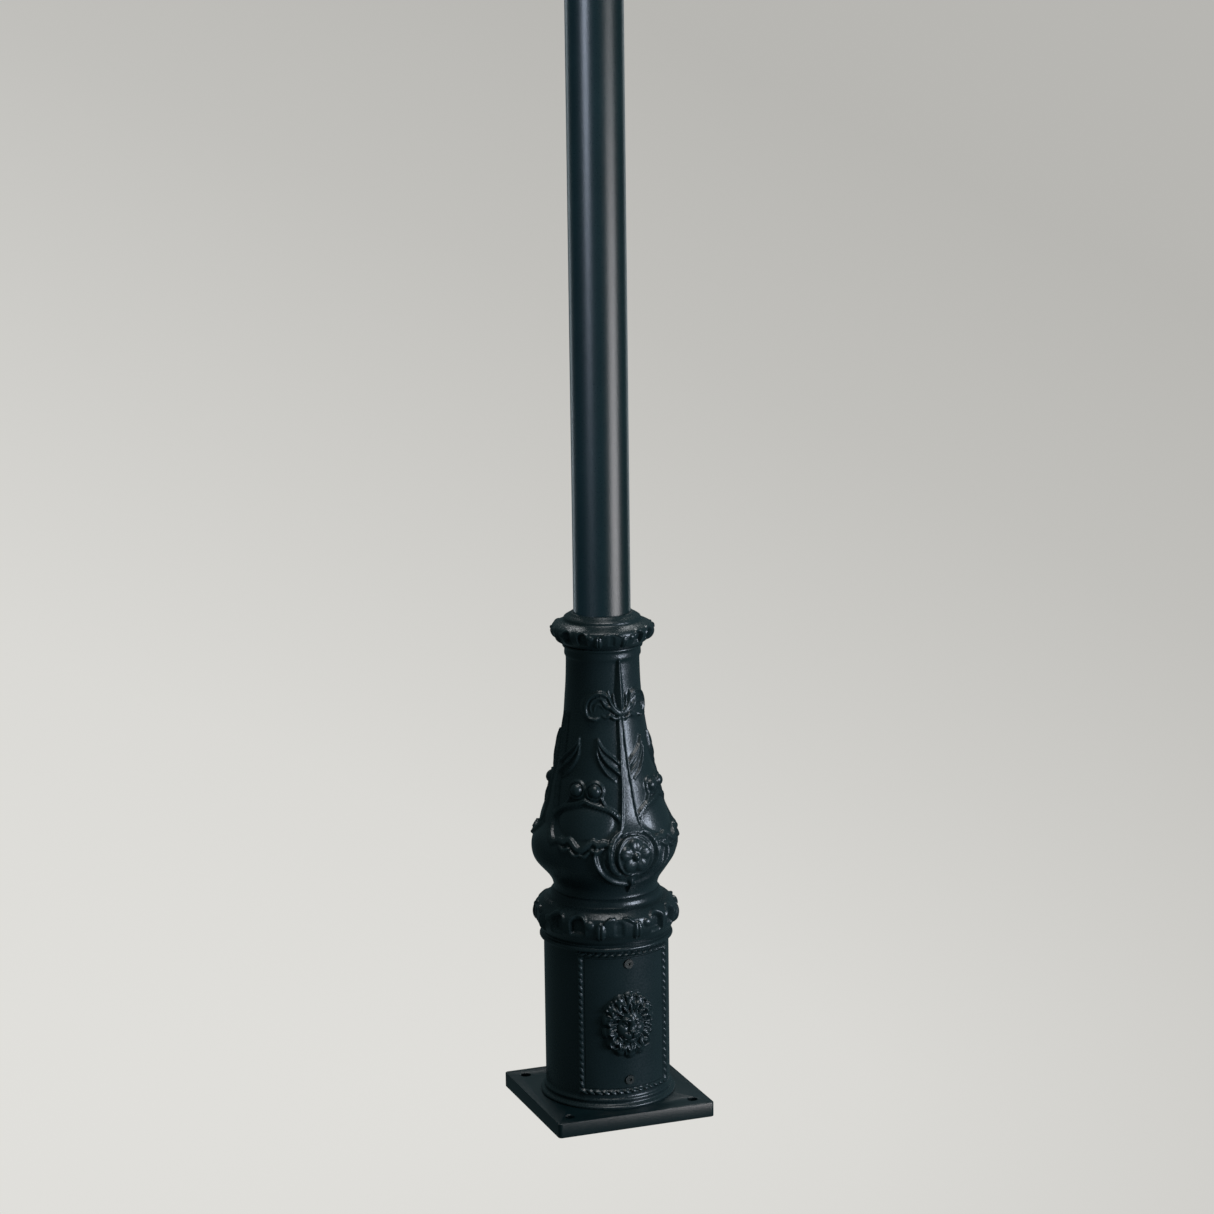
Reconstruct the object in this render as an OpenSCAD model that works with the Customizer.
// Ornamental post clock: cast flange post, plain tube and a glazed drum head with two dials.
// Millimetres. +Z is up, the origin is the centre of the base plate's underside, and the
// decorated front and the first dial face -Y.

/* [Base plate] */
// Side of the square base plate
plate_w = 222; // [210:1:240]
// Thickness of the base plate
plate_t = 20; // [16:1:24]
// Distance between anchor holes
anchor_pitch = 176; // [170:1:180]
// Diameter of an anchor hole
anchor_d = 14; // [10:1:18]
// Diameter of the cable bore under the post
cable_bore_d = 60; // [40:1:70]

/* [Castings] */
// Outer diameter of the round pedestal
pedestal_d = 168; // [166:1:170]
// Thickness of the pedestal wall
pedestal_wall = 9; // [8:0.5:10]
// Height of the pedestal casting
pedestal_h = 227; // [224:1:230]
// Height of the ring collar on the pedestal
collar_h = 59; // [57:1:61]
// Height of the vase casting
vase_h = 326; // [322:1:330]
// Height of the collar that closes the vase
upper_collar_h = 51; // [50:1:54]

/* [Inspection door] */
// Half the angle that the door covers
door_half = 41; // [38:0.5:41]
// Height of the door
door_h = 181; // [176:1:181]
// Thickness of the door
door_t = 5; // [4:0.5:6]

/* [Pole] */
// Outer diameter of the pole tube
tube_d = 76; // [75:0.5:77]
// Wall of the pole tube
tube_wall = 4; // [3:0.5:5]
// Height of the tube's top end
tube_top = 1850; // [1700:10:1900]

/* [Clock head] */
// Outer diameter of the drum case
drum_d = 420; // [416:1:424]
// Depth of the drum case without its doors
drum_depth = 120; // [120:1:122]
// Diameter of the dial
dial_d = 406; // [404:1:407]
// Opening of the bezel
bezel_open_d = 368; // [364:1:370]
// Length of the minute hand from its axis
minute_len = 150; // [130:1:160]
// Length of the hour hand from its axis
hour_len = 105; // [90:1:120]

/* [Motion work] */
// Teeth of both pinions
pinion_teeth = 12; // [12:1:12]
// Teeth of the motion wheel
wheel_teeth = 36; // [36:1:36]
// Teeth of the hour wheel
hour_teeth = 48; // [48:1:48]
// Distance from the hand axis to the stud
stud_offset = 24; // [24:1:24]

/* [Hidden] */
SIDES = ["front", "rear"];
FACE_PARTS = [
    "dial", "bridge", "movement_plate", "motor", "minute_arbor", "motion_wheel", "hour_wheel",
    "hour_hand", "minute_hand", "hand_nut", "bezel", "glass", "gasket", "lock"
];
POST_PARTS = [
    "base_plate", "pedestal_casting", "pedestal_screws", "inspection_door", "door_screws",
    "front_rosette", "rear_rosette", "lower_collar", "vase_casting", "vase_bolts", "upper_collar",
    "collar_grub_screws", "pole_tube", "backboard", "fuse_box", "earth_stud", "feed_cable",
    "capital_casting", "capital_grub_screws"
];
HEAD_PARTS = [
    "drum_saddle", "drum_bolts", "drum_case", "equipment_shelf", "led_driver", "terminal_block",
    "led_strips", "finial", "finial_nut", "hinge_pins", "dial_screws", "pillars", "motion_studs"
];
$fn = 96;

// Play between a screw and its hole, and between a shaft and its bearing
screw_play = 0.1;
running_play = 0.06;
paint = [0.06, 0.08, 0.09];

// Heights of the joints between the castings
pedestal_top = plate_t + pedestal_h;
collar_top = pedestal_top + collar_h;
vase_top = collar_top + vase_h;
tube_r = tube_d / 2;
socket_r = tube_r + 0.2;
socket_floor = vase_top - 192;
pedestal_r = pedestal_d / 2;
pedestal_bore = pedestal_r - pedestal_wall;
flange_bore = 52;
flange_t = 12;
plate_screw_r = 65;
vase_bolt_r = 62;
rope_r = 4.5;
rope_low = plate_t + 22;
rope_high = pedestal_top - 13;
panel_half = 45;
door_low = rope_low + 5.6;
door_gap = 0.6;
door_screw_low = door_low + 11;
door_screw_high = door_low + door_h - 8;
rosette_z = 136;
rosette_r = 38;
board_y = 45;
board_t = 8;

// Capital and drum
capital_low = tube_top - 70;
capital_top = tube_top + 108;
drum_r = drum_d / 2;
shell_t = 5;
saddle_h = 12;
head_z = capital_top + saddle_h + drum_r;
drum_half = drum_depth / 2;
head_bolt = 34;
pad_top = head_z - drum_r + 18;
shelf_z = head_z - 166;
finial_seat = head_z + drum_r + 6;

// Depths along a face, measured outward from the middle of the drum
plate_d = drum_half - 35;
bridge_d = drum_half - 20;
flange_d = drum_half - 16;
dial_z = drum_half - 13;
dial_t = 3;
hand_gap = 2;
bezel_d = drum_half + 1;
bezel_t = 19;
glass_d = bezel_d + 4.5;
glass_t = 4;
hinge_d = bezel_d + 9;
bezel_r = drum_r + 4;
hinge_x = bezel_r + 11;
barrel_r = 6.5;
pin_r = 3;
lock_x = bezel_r + 11;
arbor_r = 3.5;
pipe_r = 5;
stud_r = 2.5;
first_module = stud_offset * 2 / (pinion_teeth + wheel_teeth);
second_module = stud_offset * 2 / (pinion_teeth + hour_teeth);

// ---------- helpers ----------

function blend_at(a, b, c, d, t) =
    0.5 * (2 * b + (c - a) * t + (2 * a - 5 * b + 4 * c - d) * t * t + (3 * b - a - 3 * c + d) * t * t * t);

// A smooth curve through a few points, with n steps between neighbours
function smooth(p, n = 4) = concat(
    [for (i = [0:len(p) - 2], k = [0:n - 1])
        blend_at(p[max(i - 1, 0)], p[i], p[i + 1], p[min(i + 2, len(p) - 1)], k / n)],
    [p[len(p) - 1]]);

// Points lifted by a height
function lift(p, z) = [for (q = p) [q[0], q[1] + z]];

module turned(outline) {
    rotate_extrude() polygon(outline);
}

module tube_of(r_out, r_in, h) {
    difference() {
        cylinder(r = r_out, h = h);
        translate([0, 0, -1]) cylinder(r = r_in, h = h + 2);
    }
}

module sector(r_in, r_out, h, half) {
    rotate([0, 0, -90 - half])
        rotate_extrude(angle = 2 * half) translate([r_in, 0]) square([r_out - r_in, h]);
}

module around(count, r, start = 0) {
    for (i = [0:count - 1]) rotate([0, 0, start + i * 360 / count]) translate([r, 0, 0]) children();
}

// Face coordinates: x to the viewer's right, y up, z outward from the middle of the drum
module on_face(side) {
    rotate([0, 0, side * 180]) translate([0, 0, head_z]) rotate([90, 0, 0]) children();
}

module both_faces() {
    for (side = [0, 1]) on_face(side) children();
}

module socket_screw(r, h, head_r, head_h) {
    translate([0, 0, -h]) cylinder(r = r - screw_play, h = h);
    difference() {
        cylinder(r = head_r, h = head_h);
        translate([0, 0, head_h / 2]) cylinder(r = r * 0.8, h = head_h, $fn = 6);
    }
}

function involute(r_base, r) = r <= r_base ? 0 : sqrt(r * r / (r_base * r_base) - 1) * 180 / PI
    - acos(r_base / r);

// Half the angle of a tooth at radius r, for a tooth that fills part of its pitch
function flank(m, teeth, r, part) = part * 180 / teeth
    + involute(m * teeth / 2 * cos(20), m * teeth / 2) - involute(m * teeth / 2 * cos(20), r);

function gear_outline(m, teeth, add = 0.72, ded = 1.15, part = 0.44, steps = 4) =
    let (low = m * teeth / 2 - ded * m, high = m * teeth / 2 + add * m)
    [for (i = [0:teeth - 1], side = [-1, 1], k = [0:steps])
        let (t = side < 0 ? k / steps : 1 - k / steps,
             r = low + (high - low) * t,
             a = i * 360 / teeth + side * flank(m, teeth, r, part))
        [r * cos(a), r * sin(a)]];

module gear(m, teeth, h) {
    linear_extrude(h) polygon(gear_outline(m, teeth));
}

// ---------- post ----------

module base_plate() color(paint) {
    corner = 5;
    half = plate_w / 2;
    difference() {
        union() {
            translate([-half, corner - half, 0]) cube([plate_w, plate_w - 2 * corner, plate_t]);
            translate([corner - half, -half, 0]) cube([plate_w - 2 * corner, plate_w, plate_t]);
            for (x = [-1, 1], y = [-1, 1])
                translate([x * (half - corner), y * (half - corner), 0]) cylinder(r = corner, h = plate_t);
        }
        for (x = [-1, 1], y = [-1, 1])
            translate([x * anchor_pitch / 2, y * anchor_pitch / 2, -1])
                cylinder(d = anchor_d, h = plate_t + 2);
        translate([0, 0, -1]) cylinder(d = cable_bore_d, h = plate_t + 2);
        around(4, plate_screw_r, 45) {
            translate([0, 0, -1]) cylinder(r = 5.3, h = plate_t + 2);
            translate([0, 0, -1]) cylinder(r = 9, h = 12);
        }
        translate([-42, 0, -1]) cylinder(r = 4, h = plate_t + 2);
    }
}

module pedestal_screws() color("silver") {
    around(4, plate_screw_r, 45)
        translate([0, 0, 11]) rotate([180, 0, 0]) socket_screw(5, 28, 8, 9);
}

// The raised frame of a panel, where the rope moulding lies, drawn for the front
module rope_frame() {
    edge_deg = rope_r / pedestal_r * 180 / PI;
    difference() {
        translate([0, 0, rope_low - rope_r])
            sector(pedestal_r - 2, pedestal_r + 4, rope_high - rope_low + 2 * rope_r,
                   panel_half + edge_deg);
        translate([0, 0, rope_low + rope_r])
            sector(pedestal_r - 4, pedestal_r + 20, rope_high - rope_low - 2 * rope_r,
                   panel_half - edge_deg);
    }
}

module pedestal_casting() color(paint) {
    foot_bore = 55;
    foot_t = 21;
    foot = [[pedestal_bore, foot_t], [foot_bore, foot_t], [foot_bore, 0], [pedestal_r + 6, 0], [pedestal_r + 6, 7],
            [pedestal_r + 2, 11], [pedestal_r, 14]];
    bead = smooth([[0, 13], [3.4, 11.5], [4.6, 8], [3.4, 4.5], [0.8, 3], [0.8, 0]], 3);
    outline = concat(
        lift(foot, plate_t),
        [for (p = bead) [pedestal_r + p[0], pedestal_top - p[1]]],
        [[flange_bore, pedestal_top], [flange_bore, pedestal_top - flange_t],
         [pedestal_bore, pedestal_top - flange_t]]);
    lug_r = pedestal_r - door_t - 0.4;
    difference() {
        union() {
            difference() {
                union() {
                    turned(outline);
                    rope_frame();
                    rotate([0, 0, 180]) rope_frame();
                }
                translate([0, 0, door_low - door_gap])
                    sector(pedestal_bore - 2, pedestal_r + 20, door_h + 2 * door_gap,
                           door_half + 0.4);
            }
            translate([0, 0, plate_t + 10]) sector(63, lug_r, door_low + 16 - plate_t, 10);
            translate([0, 0, door_screw_high - 9]) sector(63, lug_r, pedestal_top - door_screw_high + 8, 10);
            for (z = [70, 180])
                translate([-15, board_y + board_t, z]) cube([30, pedestal_bore + 2 - board_y - board_t, 14]);
        }
        around(4, plate_screw_r, 45) translate([0, 0, plate_t - 1]) cylinder(r = 5, h = foot_t + 2);
        around(4, vase_bolt_r, 45) translate([0, 0, pedestal_top - flange_t - 1])
            cylinder(r = 4.5, h = flange_t + 2);
        for (z = [door_screw_low, door_screw_high])
            translate([0, -62, z]) rotate([90, 0, 0]) cylinder(r = 3, h = 30);
    }
}

module inspection_door() color(paint) {
    difference() {
        translate([0, 0, door_low]) sector(pedestal_r - door_t, pedestal_r, door_h, door_half);
        for (z = [door_screw_low, door_screw_high]) translate([0, 0, z]) rotate([90, 0, 0]) {
            cylinder(r = 3.4, h = pedestal_r + 5);
            translate([0, 0, pedestal_r - 2]) cylinder(r = 6.6, h = 8);
        }
    }
}

module door_screws() color(paint) {
    for (z = [door_screw_low, door_screw_high])
        translate([0, 2 - pedestal_r, z]) rotate([90, 0, 0]) socket_screw(3, 18, 6.2, 4);
}

// A round plaque with a stepped boss that stands in for the modelled ornament
module rosette() color(paint) {
    difference() {
        translate([0, 0, rosette_z]) rotate([90, 0, 0]) {
            cylinder(r = rosette_r, h = pedestal_r + 5);
            cylinder(r = rosette_r * 0.7, h = pedestal_r + 11);
            cylinder(r = rosette_r * 0.4, h = pedestal_r + 15);
        }
        cylinder(r = pedestal_r + 0.15, h = pedestal_top);
    }
}

module lower_collar() color(paint) {
    rim = smooth([[84.8, 0], [88.5, 5], [91, 10], [95.8, 17], [96.8, 28], [95, 38], [88, 46.5], [77, 55],
                  [70.5, collar_h]]);
    difference() {
        turned(concat(lift(rim, pedestal_top), [[50, collar_top], [50, pedestal_top]]));
        around(4, vase_bolt_r, 45) translate([0, 0, pedestal_top - 1]) cylinder(r = 4.5, h = collar_h + 2);
    }
}

module vase_casting() color(paint) {
    body = smooth([[70.5, 0], [76, 16], [88, 32], [96.5, 48], [99, 65], [96, 78], [89, 91], [80.5, 112],
                   [74, 140], [66, 170], [61, 200], [55.5, 238], [51, 275], [48.2, vase_h - 14]], 3);
    bead = smooth([[50.4, vase_h - 9], [51, vase_h - 5], [50, vase_h - 1.5], [49, vase_h]], 2);
    floor_h = socket_floor - collar_top;
    core = [[socket_r, vase_h], [socket_r, floor_h], [30, floor_h], [30, floor_h - 8], [46, floor_h - 16],
            [68, 98], [82, 82], [88, 65], [84, 46], [66, 28], [50, 12], [46, 0]];
    difference() {
        turned(lift(concat(body, bead, core), collar_top));
        around(4, vase_bolt_r, 45) translate([0, 0, collar_top - 1]) cylinder(r = 4, h = 19);
    }
}

module vase_bolts() color("silver") {
    shank = collar_h + flange_t + 16;
    around(4, vase_bolt_r, 45) translate([0, 0, pedestal_top - flange_t]) {
        cylinder(r = 4 - screw_play, h = shank);
        translate([0, 0, -5.5]) cylinder(r = 7.5, h = 5.5, $fn = 6);
    }
}

module upper_collar() color(paint) {
    rim = smooth([[49.5, 0], [55, 8], [61.6, 12], [66.5, 17], [68.2, 25], [66.5, 31], [60, 36], [51.5, 41]], 3);
    lip = smooth([[51.5, 43], [48, 47], [40.5, upper_collar_h]], 3);
    difference() {
        turned(lift(concat(rim, lip, [[socket_r, upper_collar_h], [socket_r, 0]]), vase_top));
        for (a = [40, 140]) rotate([0, 0, a]) translate([30, 0, vase_top + 22])
            rotate([0, 90, 0]) cylinder(r = 4, h = 60);
    }
}

module grub_screw() {
    difference() {
        cylinder(r = 4 - screw_play, h = 16);
        translate([0, 0, 10]) cylinder(r = 2, h = 10, $fn = 6);
    }
}

module collar_grub_screws() color("silver") {
    for (a = [40, 140]) rotate([0, 0, a]) translate([tube_r + 0.1, 0, vase_top + 22])
        rotate([0, 90, 0]) grub_screw();
}

module pole_tube() color(paint) {
    translate([0, 0, socket_floor]) tube_of(tube_r, tube_r - tube_wall, tube_top - socket_floor);
}

// ---------- supply inside the post ----------

module backboard() color("tan") {
    difference() {
        translate([-48, board_y, 60]) cube([96, board_t, 145]);
        for (z = [77, 187]) translate([0, board_y - 1, z]) rotate([-90, 0, 0])
            cylinder(r = 2.5, h = board_t + 2);
    }
}

module fuse_box() color("dimgray") {
    difference() {
        union() {
            translate([-36, 5, 90]) cube([72, board_y - 5, 84]);
            translate([-22, -2, 112]) cube([44, 8, 40]);
            translate([0, 24, 173]) cylinder(r = 10, h = 10);
        }
        translate([0, 24, 168]) cylinder(r = 5.2, h = 20);
    }
}

module earth_stud() color("gold") {
    translate([-42, 0, 4]) cylinder(r = 4 - screw_play, h = plate_t + 20);
    translate([-42, 0, plate_t]) cylinder(r = 8, h = 6, $fn = 6);
}

function dot3(a, b) = a[0] * b[0] + a[1] * b[1] + a[2] * b[2];
function unit(v) = v / norm(v);

// The feed cable's route from the fuse box gland to the terminal block in the head
cable_r = 4.5;
cable_points = concat(
    smooth([[0, 24, 170], [0, 24, 195], [0, 15, 225], [0, 3, 262], [0, 0, 300]], 4),
    [for (z = [500:200:1900]) [0, 0, z]],
    smooth([[0, 0, 1960], [0, 0, 2035], [8, 0, 2058], [26, 0, 2066], [48, 0, 2060], [58, 0, 2032]], 4));

module swept_tube(path, r, sides = 8) {
    n = len(path);
    rings = [for (i = [0:n - 1])
        let (t = unit(path[min(i + 1, n - 1)] - path[max(i - 1, 0)]),
             u = unit([0, 1, 0] - t * dot3(t, [0, 1, 0])),
             v = cross(t, u))
        for (k = [0:sides - 1]) path[i] + r * (u * cos(k * 360 / sides) + v * sin(k * 360 / sides))];
    walls = [for (i = [0:n - 2], k = [0:sides - 1])
        let (a = i * sides + k, b = i * sides + (k + 1) % sides)
        for (f = [[a, b, a + sides], [b, b + sides, a + sides]]) f];
    first_cap = [[for (k = [sides - 1:-1:0]) k]];
    last_cap = [[for (k = [0:sides - 1]) (n - 1) * sides + k]];
    polyhedron(points = rings, faces = concat(first_cap, walls, last_cap));
}

module feed_cable() color("black") {
    swept_tube(cable_points, cable_r);
}

// ---------- capital and drum ----------

module capital_casting() color(paint) {
    outline = smooth([[40.5, 0], [48, 3], [50, 8], [46, 14], [44, 24], [44, 68], [48, 78], [50, 84], [47, 90],
                      [47, 98], [54, 120], [64, 138], [67, 150], [64, 158]], 3);
    top = capital_top - capital_low;
    bore = tube_top - capital_low;
    difference() {
        turned(lift(concat(outline, [[71, 163], [71, top], [15, top], [15, bore], [socket_r, bore],
                                     [socket_r, 0]]), capital_low));
        for (a = [40, 140]) rotate([0, 0, a]) translate([30, 0, capital_low + 8])
            rotate([0, 90, 0]) cylinder(r = 4, h = 40);
        for (x = [-1, 1], y = [-1, 1])
            translate([x * head_bolt, y * head_bolt, capital_top - 28]) cylinder(r = 4, h = 30);
    }
}

module capital_grub_screws() color("silver") {
    for (a = [40, 140]) rotate([0, 0, a]) translate([tube_r + 0.1, 0, capital_low + 8])
        rotate([0, 90, 0]) cylinder(r = 4 - screw_play, h = 10);
}

module drum_saddle() color(paint) {
    difference() {
        translate([-65, -50, capital_top]) cube([130, 100, 40]);
        translate([0, 60, head_z]) rotate([90, 0, 0]) cylinder(r = drum_r + 0.2, h = 120);
        translate([0, 0, capital_top - 1]) cylinder(r = 15, h = 50);
        for (x = [-1, 1], y = [-1, 1])
            translate([x * head_bolt, y * head_bolt, capital_top - 1]) cylinder(r = 4.5, h = 50);
    }
}

module drum_bolts() color("silver") {
    for (x = [-1, 1], y = [-1, 1]) translate([x * head_bolt, y * head_bolt, capital_top - 24]) {
        cylinder(r = 4 - screw_play, h = pad_top - capital_top + 24);
        translate([0, 0, pad_top - capital_top + 24]) cylinder(r = 7.5, h = 5.5, $fn = 6);
    }
}

// Lugs of the hinge and the keeper of the lock, drawn for one face
module case_hinge() {
    for (y = [-1, 1]) translate([0, y * 21.7, 0]) {
        translate([-hinge_x, 0, hinge_d]) rotate([90, 0, 0]) cylinder(r = barrel_r, h = 16, center = true);
        translate([-hinge_x - barrel_r, -8, drum_half - 14]) cube([2 * barrel_r, 16, hinge_d - drum_half + 14]);
        translate([-hinge_x - barrel_r, -8, drum_half - 14]) cube([hinge_x + barrel_r - drum_r + 4, 16, 14]);
    }
    translate([drum_r - 2, -12, drum_half - 4]) cube([9.5, 24, 4]);
}

module drum_case() color(paint) {
    inner = drum_r - shell_t;
    difference() {
        union() {
            on_face(0) translate([0, 0, -drum_half]) tube_of(drum_r, inner, drum_depth);
            both_faces() translate([0, 0, flange_d]) tube_of(inner + 1, inner - 17, 3);
            both_faces() case_hinge();
            intersection() {
                translate([-55, -43, head_z - drum_r]) cube([110, 86, pad_top - head_z + drum_r]);
                on_face(0) translate([0, 0, -drum_half]) cylinder(r = drum_r - 1, h = drum_depth);
            }
            difference() {
                translate([0, 0, finial_seat - 26]) cylinder(r = 27, h = 26);
                on_face(0) translate([0, 0, -drum_half]) cylinder(r = drum_r - 2, h = drum_depth);
            }
        }
        for (x = [-1, 1], y = [-1, 1])
            translate([x * head_bolt, y * head_bolt, head_z - drum_r - 1]) cylinder(r = 4.5, h = 40);
        translate([0, 0, head_z - drum_r - 1]) cylinder(r = 12, h = 40);
        translate([0, 0, head_z + 150]) cylinder(r = 6.3, h = 100);
        both_faces() translate([-hinge_x, 40, hinge_d]) rotate([90, 0, 0])
            cylinder(r = pin_r + screw_play, h = 80);
        both_faces() around(6, drum_r - 14, 30) translate([0, 0, flange_d - 1]) cylinder(r = 2.5, h = 5);
    }
}

module equipment_shelf() color("silver") {
    difference() {
        translate([-119, -30, shelf_z]) cube([238, 60, 4]);
        for (x = [-1, 1], y = [-1, 1])
            translate([x * head_bolt, y * head_bolt, shelf_z - 1]) cylinder(r = 9, h = 6);
        translate([0, 0, shelf_z - 1]) cylinder(r = 10, h = 6);
    }
}

module led_driver() color("white") {
    translate([-106, -17, shelf_z + 4]) cube([60, 34, 26]);
}

module terminal_block() color("ivory") {
    difference() {
        translate([42, -12, shelf_z + 4]) cube([56, 24, 20]);
        translate([58, 0, shelf_z + 12]) cylinder(r = 5.2, h = 20);
    }
}

// Two arcs of light strip on the drum's inner wall
module led_strips() color("lemonchiffon") {
    strip_r = drum_r - shell_t - 0.3;
    for (a = [-45, 135]) on_face(0) translate([0, 0, -12]) rotate([0, 0, a])
        rotate_extrude(angle = 90) translate([strip_r - 3, 0]) square([3, 24]);
}

module finial() color(paint) {
    outline = smooth([[24, 0], [26, 3], [24, 8], [13, 13], [11, 18], [20, 27], [23, 37], [20, 47], [11, 57],
                      [8, 64], [10, 70], [7, 78], [3, 96], [1.5, 102]], 3);
    turned(concat(lift(outline, finial_seat), [[0, finial_seat + 102], [0, finial_seat]]));
    translate([0, 0, finial_seat - 24]) cylinder(r = 6, h = 25);
}

module finial_nut() color("silver") {
    translate([0, 0, finial_seat - 19.4]) difference() {
        cylinder(r = 10, h = 8, $fn = 6);
        translate([0, 0, -1]) cylinder(r = 6 + screw_play, h = 10);
    }
}

// ---------- parts shared by the two faces ----------

module hinge_pins() color("silver") {
    both_faces() translate([-hinge_x, 31, hinge_d]) rotate([90, 0, 0]) {
        cylinder(r = pin_r, h = 62);
        translate([0, 0, -3]) cylinder(r = 4.5, h = 3);
    }
}

module dial_screws() color("silver") {
    both_faces() around(6, drum_r - 14, 30) translate([0, 0, dial_z + dial_t]) socket_screw(2.5, 5.5, 4.5, 2.5);
}

module pillars() color("goldenrod") {
    at = stud_offset * 1.4;
    both_faces() for (x = [-at, at], y = [-at, at])
        translate([x, y, plate_d + 3]) cylinder(r = 4, h = bridge_d - plate_d - 3);
}

module motion_studs() color("silver") {
    both_faces() translate([0, -stud_offset, plate_d + 0.2]) {
        cylinder(r = stud_r - screw_play, h = 3);
        translate([0, 0, 2.8]) cylinder(r = stud_r, h = 9.2);
        translate([0, 0, 12]) cylinder(r = stud_r + 2, h = 2.4);
    }
}

// ---------- parts of one face ----------

module dial() color("ivory") {
    translate([0, 0, dial_z]) difference() {
        cylinder(d = dial_d, h = dial_t);
        translate([0, 0, -1]) cylinder(r = pipe_r + 3, h = dial_t + 2);
        around(6, drum_r - 14, 30) translate([0, 0, -1]) cylinder(r = 2.8, h = dial_t + 2);
    }
}

module bridge() color("silver") {
    reach = drum_r - shell_t - 8;
    translate([0, 0, bridge_d]) difference() {
        union() {
            translate([-reach, -15, 0]) cube([2 * reach, 30, 4]);
            translate([-42, -42, 0]) cube([84, 84, 4]);
        }
        translate([0, 0, -1]) cylinder(r = pipe_r + running_play, h = 6);
    }
}

module movement_plate() color("goldenrod") {
    translate([0, 0, plate_d]) difference() {
        translate([-40, -40, 0]) cube([80, 80, 3]);
        translate([0, 0, -1]) cylinder(r = arbor_r + running_play, h = 5);
        translate([0, -stud_offset, -1]) cylinder(r = stud_r, h = 5);
    }
}

module motor() color("dimgray") {
    translate([0, 0, plate_d - 20]) difference() {
        union() {
            cylinder(r = 26, h = 20);
            translate([-9, 20, 4]) cube([18, 14, 12]);
        }
        translate([0, 0, 8]) cylinder(r = arbor_r + 0.3, h = 14);
    }
}

module minute_arbor() color("goldenrod") {
    translate([0, 0, plate_d - 11]) cylinder(r = arbor_r, h = drum_half + 1 - plate_d + 11);
    translate([0, 0, plate_d + 3.6]) gear(first_module, pinion_teeth, 4.2);
}

module motion_wheel() color("goldenrod") {
    translate([0, -stud_offset, plate_d + 4]) difference() {
        union() {
            rotate([0, 0, 180 / wheel_teeth]) gear(first_module, wheel_teeth, 3.5);
            gear(second_module, pinion_teeth, 7.5);
        }
        translate([0, 0, -1]) cylinder(r = stud_r + running_play, h = 10);
    }
}

module hour_wheel() color("goldenrod") {
    translate([0, 0, plate_d + 8.5]) difference() {
        union() {
            rotate([0, 0, 180 / hour_teeth]) gear(second_module, hour_teeth, 3);
            cylinder(r = pipe_r, h = 22);
        }
        translate([0, 0, -1]) cylinder(r = arbor_r + running_play, h = 30);
    }
}

// A flat hand that points up: hub, shank, spade and tail
module hand(length, hub_r, bore_r, spade, thickness) {
    neck = length * 0.66;
    tail = length * 0.26;
    difference() {
        union() {
            cylinder(r = hub_r, h = thickness);
            translate([0, neck, 0]) cylinder(r = spade, h = thickness);
            linear_extrude(thickness)
                polygon([[-hub_r * 0.5, 0], [-spade * 0.32, neck], [spade * 0.32, neck], [hub_r * 0.5, 0],
                         [hub_r * 0.7, -tail], [-hub_r * 0.7, -tail]]);
            linear_extrude(thickness)
                polygon([[-spade * 0.9, neck + spade * 0.3], [-spade * 0.14, neck + spade * 1.9], [0, length],
                         [spade * 0.14, neck + spade * 1.9], [spade * 0.9, neck + spade * 0.3]]);
        }
        translate([0, 0, -1]) cylinder(r = bore_r, h = thickness + 2);
    }
}

module hour_hand() color("black") {
    translate([0, 0, dial_z + dial_t + hand_gap]) rotate([0, 0, -305])
        hand(hour_len, 13, pipe_r + 0.04, 13, 2.2);
}

module minute_hand() color("black") {
    translate([0, 0, drum_half - 3]) rotate([0, 0, -60]) hand(minute_len, 10, arbor_r + 0.04, 9, 2);
}

module hand_nut() color("gold") {
    translate([0, 0, drum_half - 1]) difference() {
        cylinder(r = 6, h = 3.4, $fn = 6);
        translate([0, 0, -1]) cylinder(r = arbor_r + 0.04, h = 3.2);
    }
}

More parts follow.
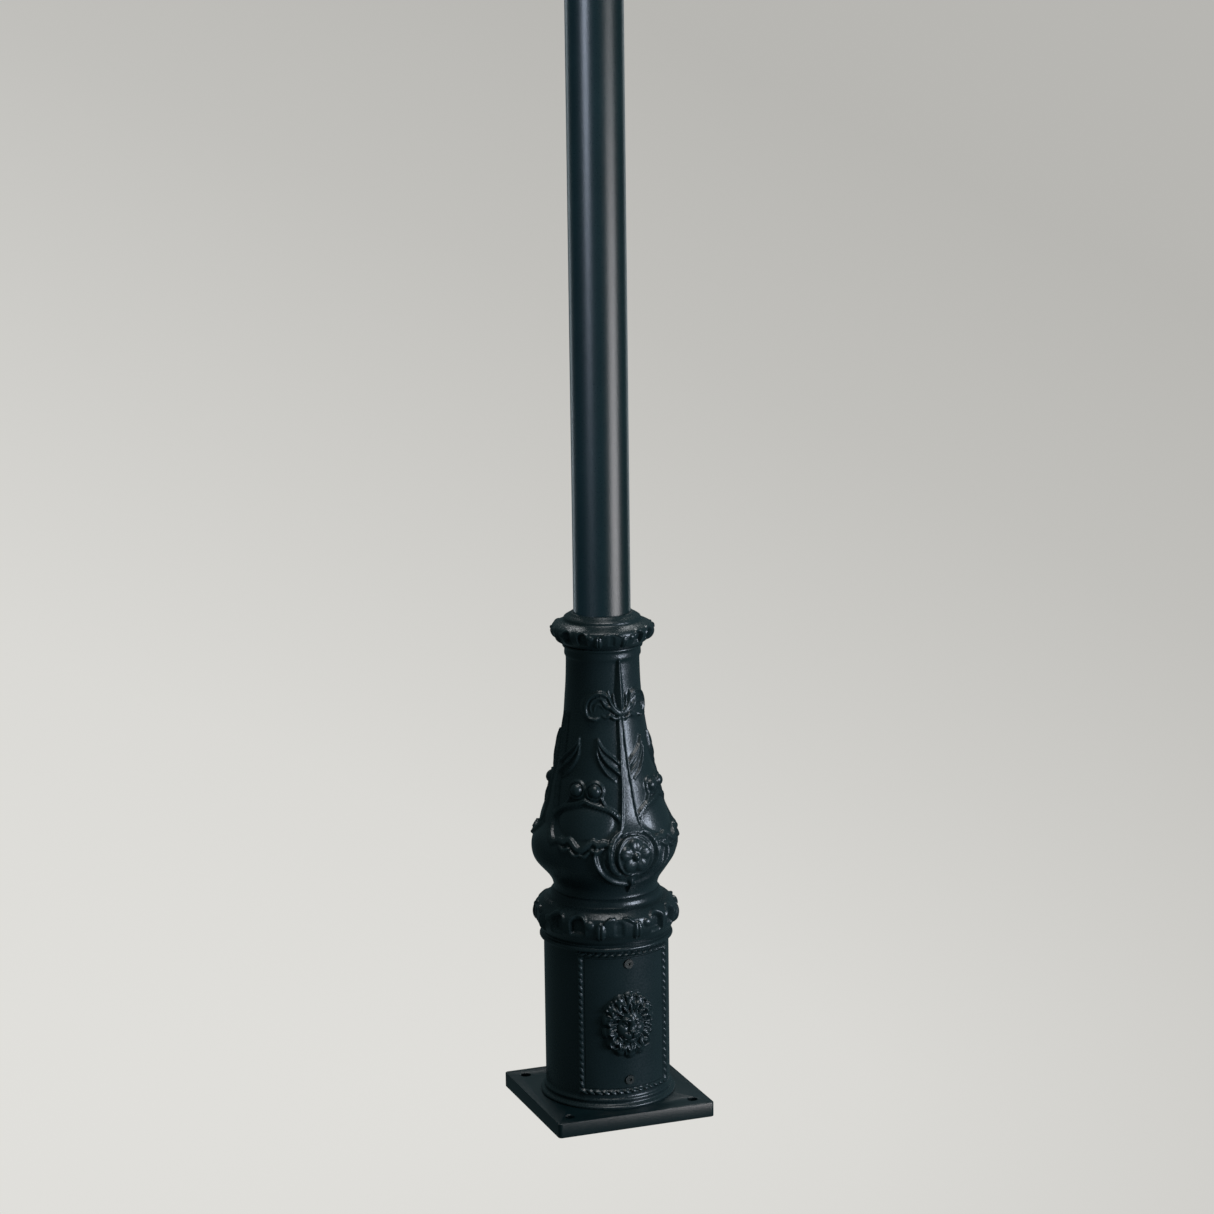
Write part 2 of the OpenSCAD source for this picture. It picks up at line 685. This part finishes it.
module bezel() color(paint) {
    open_r = bezel_open_d / 2;
    seat_r = open_r + 9.5;
    outline = [[seat_r, 0], [bezel_r, 0], [bezel_r, 9], [bezel_r - 3, 14], [bezel_r - 9, 17.6],
               [bezel_r - 17, bezel_t], [open_r + 5, 17], [open_r, 13], [open_r, 10], [seat_r, 10]];
    translate([0, 0, bezel_d]) difference() {
        union() {
            turned(outline);
            translate([-hinge_x, -13, 4]) cube([hinge_x - bezel_r + 6, 26, 8]);
            translate([-hinge_x, 0, hinge_d - bezel_d]) rotate([90, 0, 0])
                cylinder(r = barrel_r, h = 26, center = true);
            translate([bezel_r - 6, -11, 5]) cube([lock_x - bezel_r + 6, 22, 7]);
            translate([lock_x, 0, 5]) cylinder(r = 11, h = 7);
        }
        translate([-hinge_x, 0, hinge_d - bezel_d]) rotate([90, 0, 0])
            cylinder(r = pin_r + running_play, h = 30, center = true);
        translate([lock_x, 0, 0]) cylinder(r = 5, h = 30);
    }
}

module glass() color([0.8, 0.9, 0.9, 0.35]) {
    translate([0, 0, glass_d]) cylinder(r = bezel_open_d / 2 + 9, h = glass_t);
}

module gasket() color("black") {
    translate([0, 0, glass_d + glass_t])
        tube_of(bezel_open_d / 2 + 9, bezel_open_d / 2 + 1, bezel_d + 10 - glass_d - glass_t);
}

// A quarter-turn lock: its cam points up when it is released
module lock() color("silver") {
    cam_d = drum_half - 10;
    head_d = bezel_d + 12.2;
    translate([lock_x, 0, 0]) difference() {
        union() {
            translate([0, 0, cam_d]) cylinder(r = 5 - running_play, h = head_d - cam_d);
            translate([0, 0, head_d]) cylinder(r = 8, h = 3.4);
            translate([0, 0, cam_d]) cylinder(r = 7, h = 4);
            translate([-5, 0, cam_d]) cube([10, 13.5, 4]);
        }
        translate([-1.2, -5, head_d + 1.6]) cube([2.4, 10, 4]);
    }
}

// ---------- nodes ----------

base_plate();
pedestal_casting();
pedestal_screws();
inspection_door();
door_screws();
rosette();  // front_rosette
rotate([0, 0, 180]) rosette();  // rear_rosette
lower_collar();
vase_casting();
vase_bolts();
upper_collar();
collar_grub_screws();
pole_tube();
backboard();
fuse_box();
earth_stud();
feed_cable();
capital_casting();
capital_grub_screws();
drum_saddle();
drum_bolts();
drum_case();
equipment_shelf();
led_driver();
terminal_block();
led_strips();
finial();
finial_nut();
hinge_pins();
dial_screws();
pillars();
motion_studs();
for (side = [0, 1]) {
    on_face(side) dial();
    on_face(side) bridge();
    on_face(side) movement_plate();
    on_face(side) motor();
    on_face(side) minute_arbor();
    on_face(side) motion_wheel();
    on_face(side) hour_wheel();
    on_face(side) hour_hand();
    on_face(side) minute_hand();
    on_face(side) hand_nut();
    on_face(side) bezel();
    on_face(side) glass();
    on_face(side) gasket();
    on_face(side) lock();
}
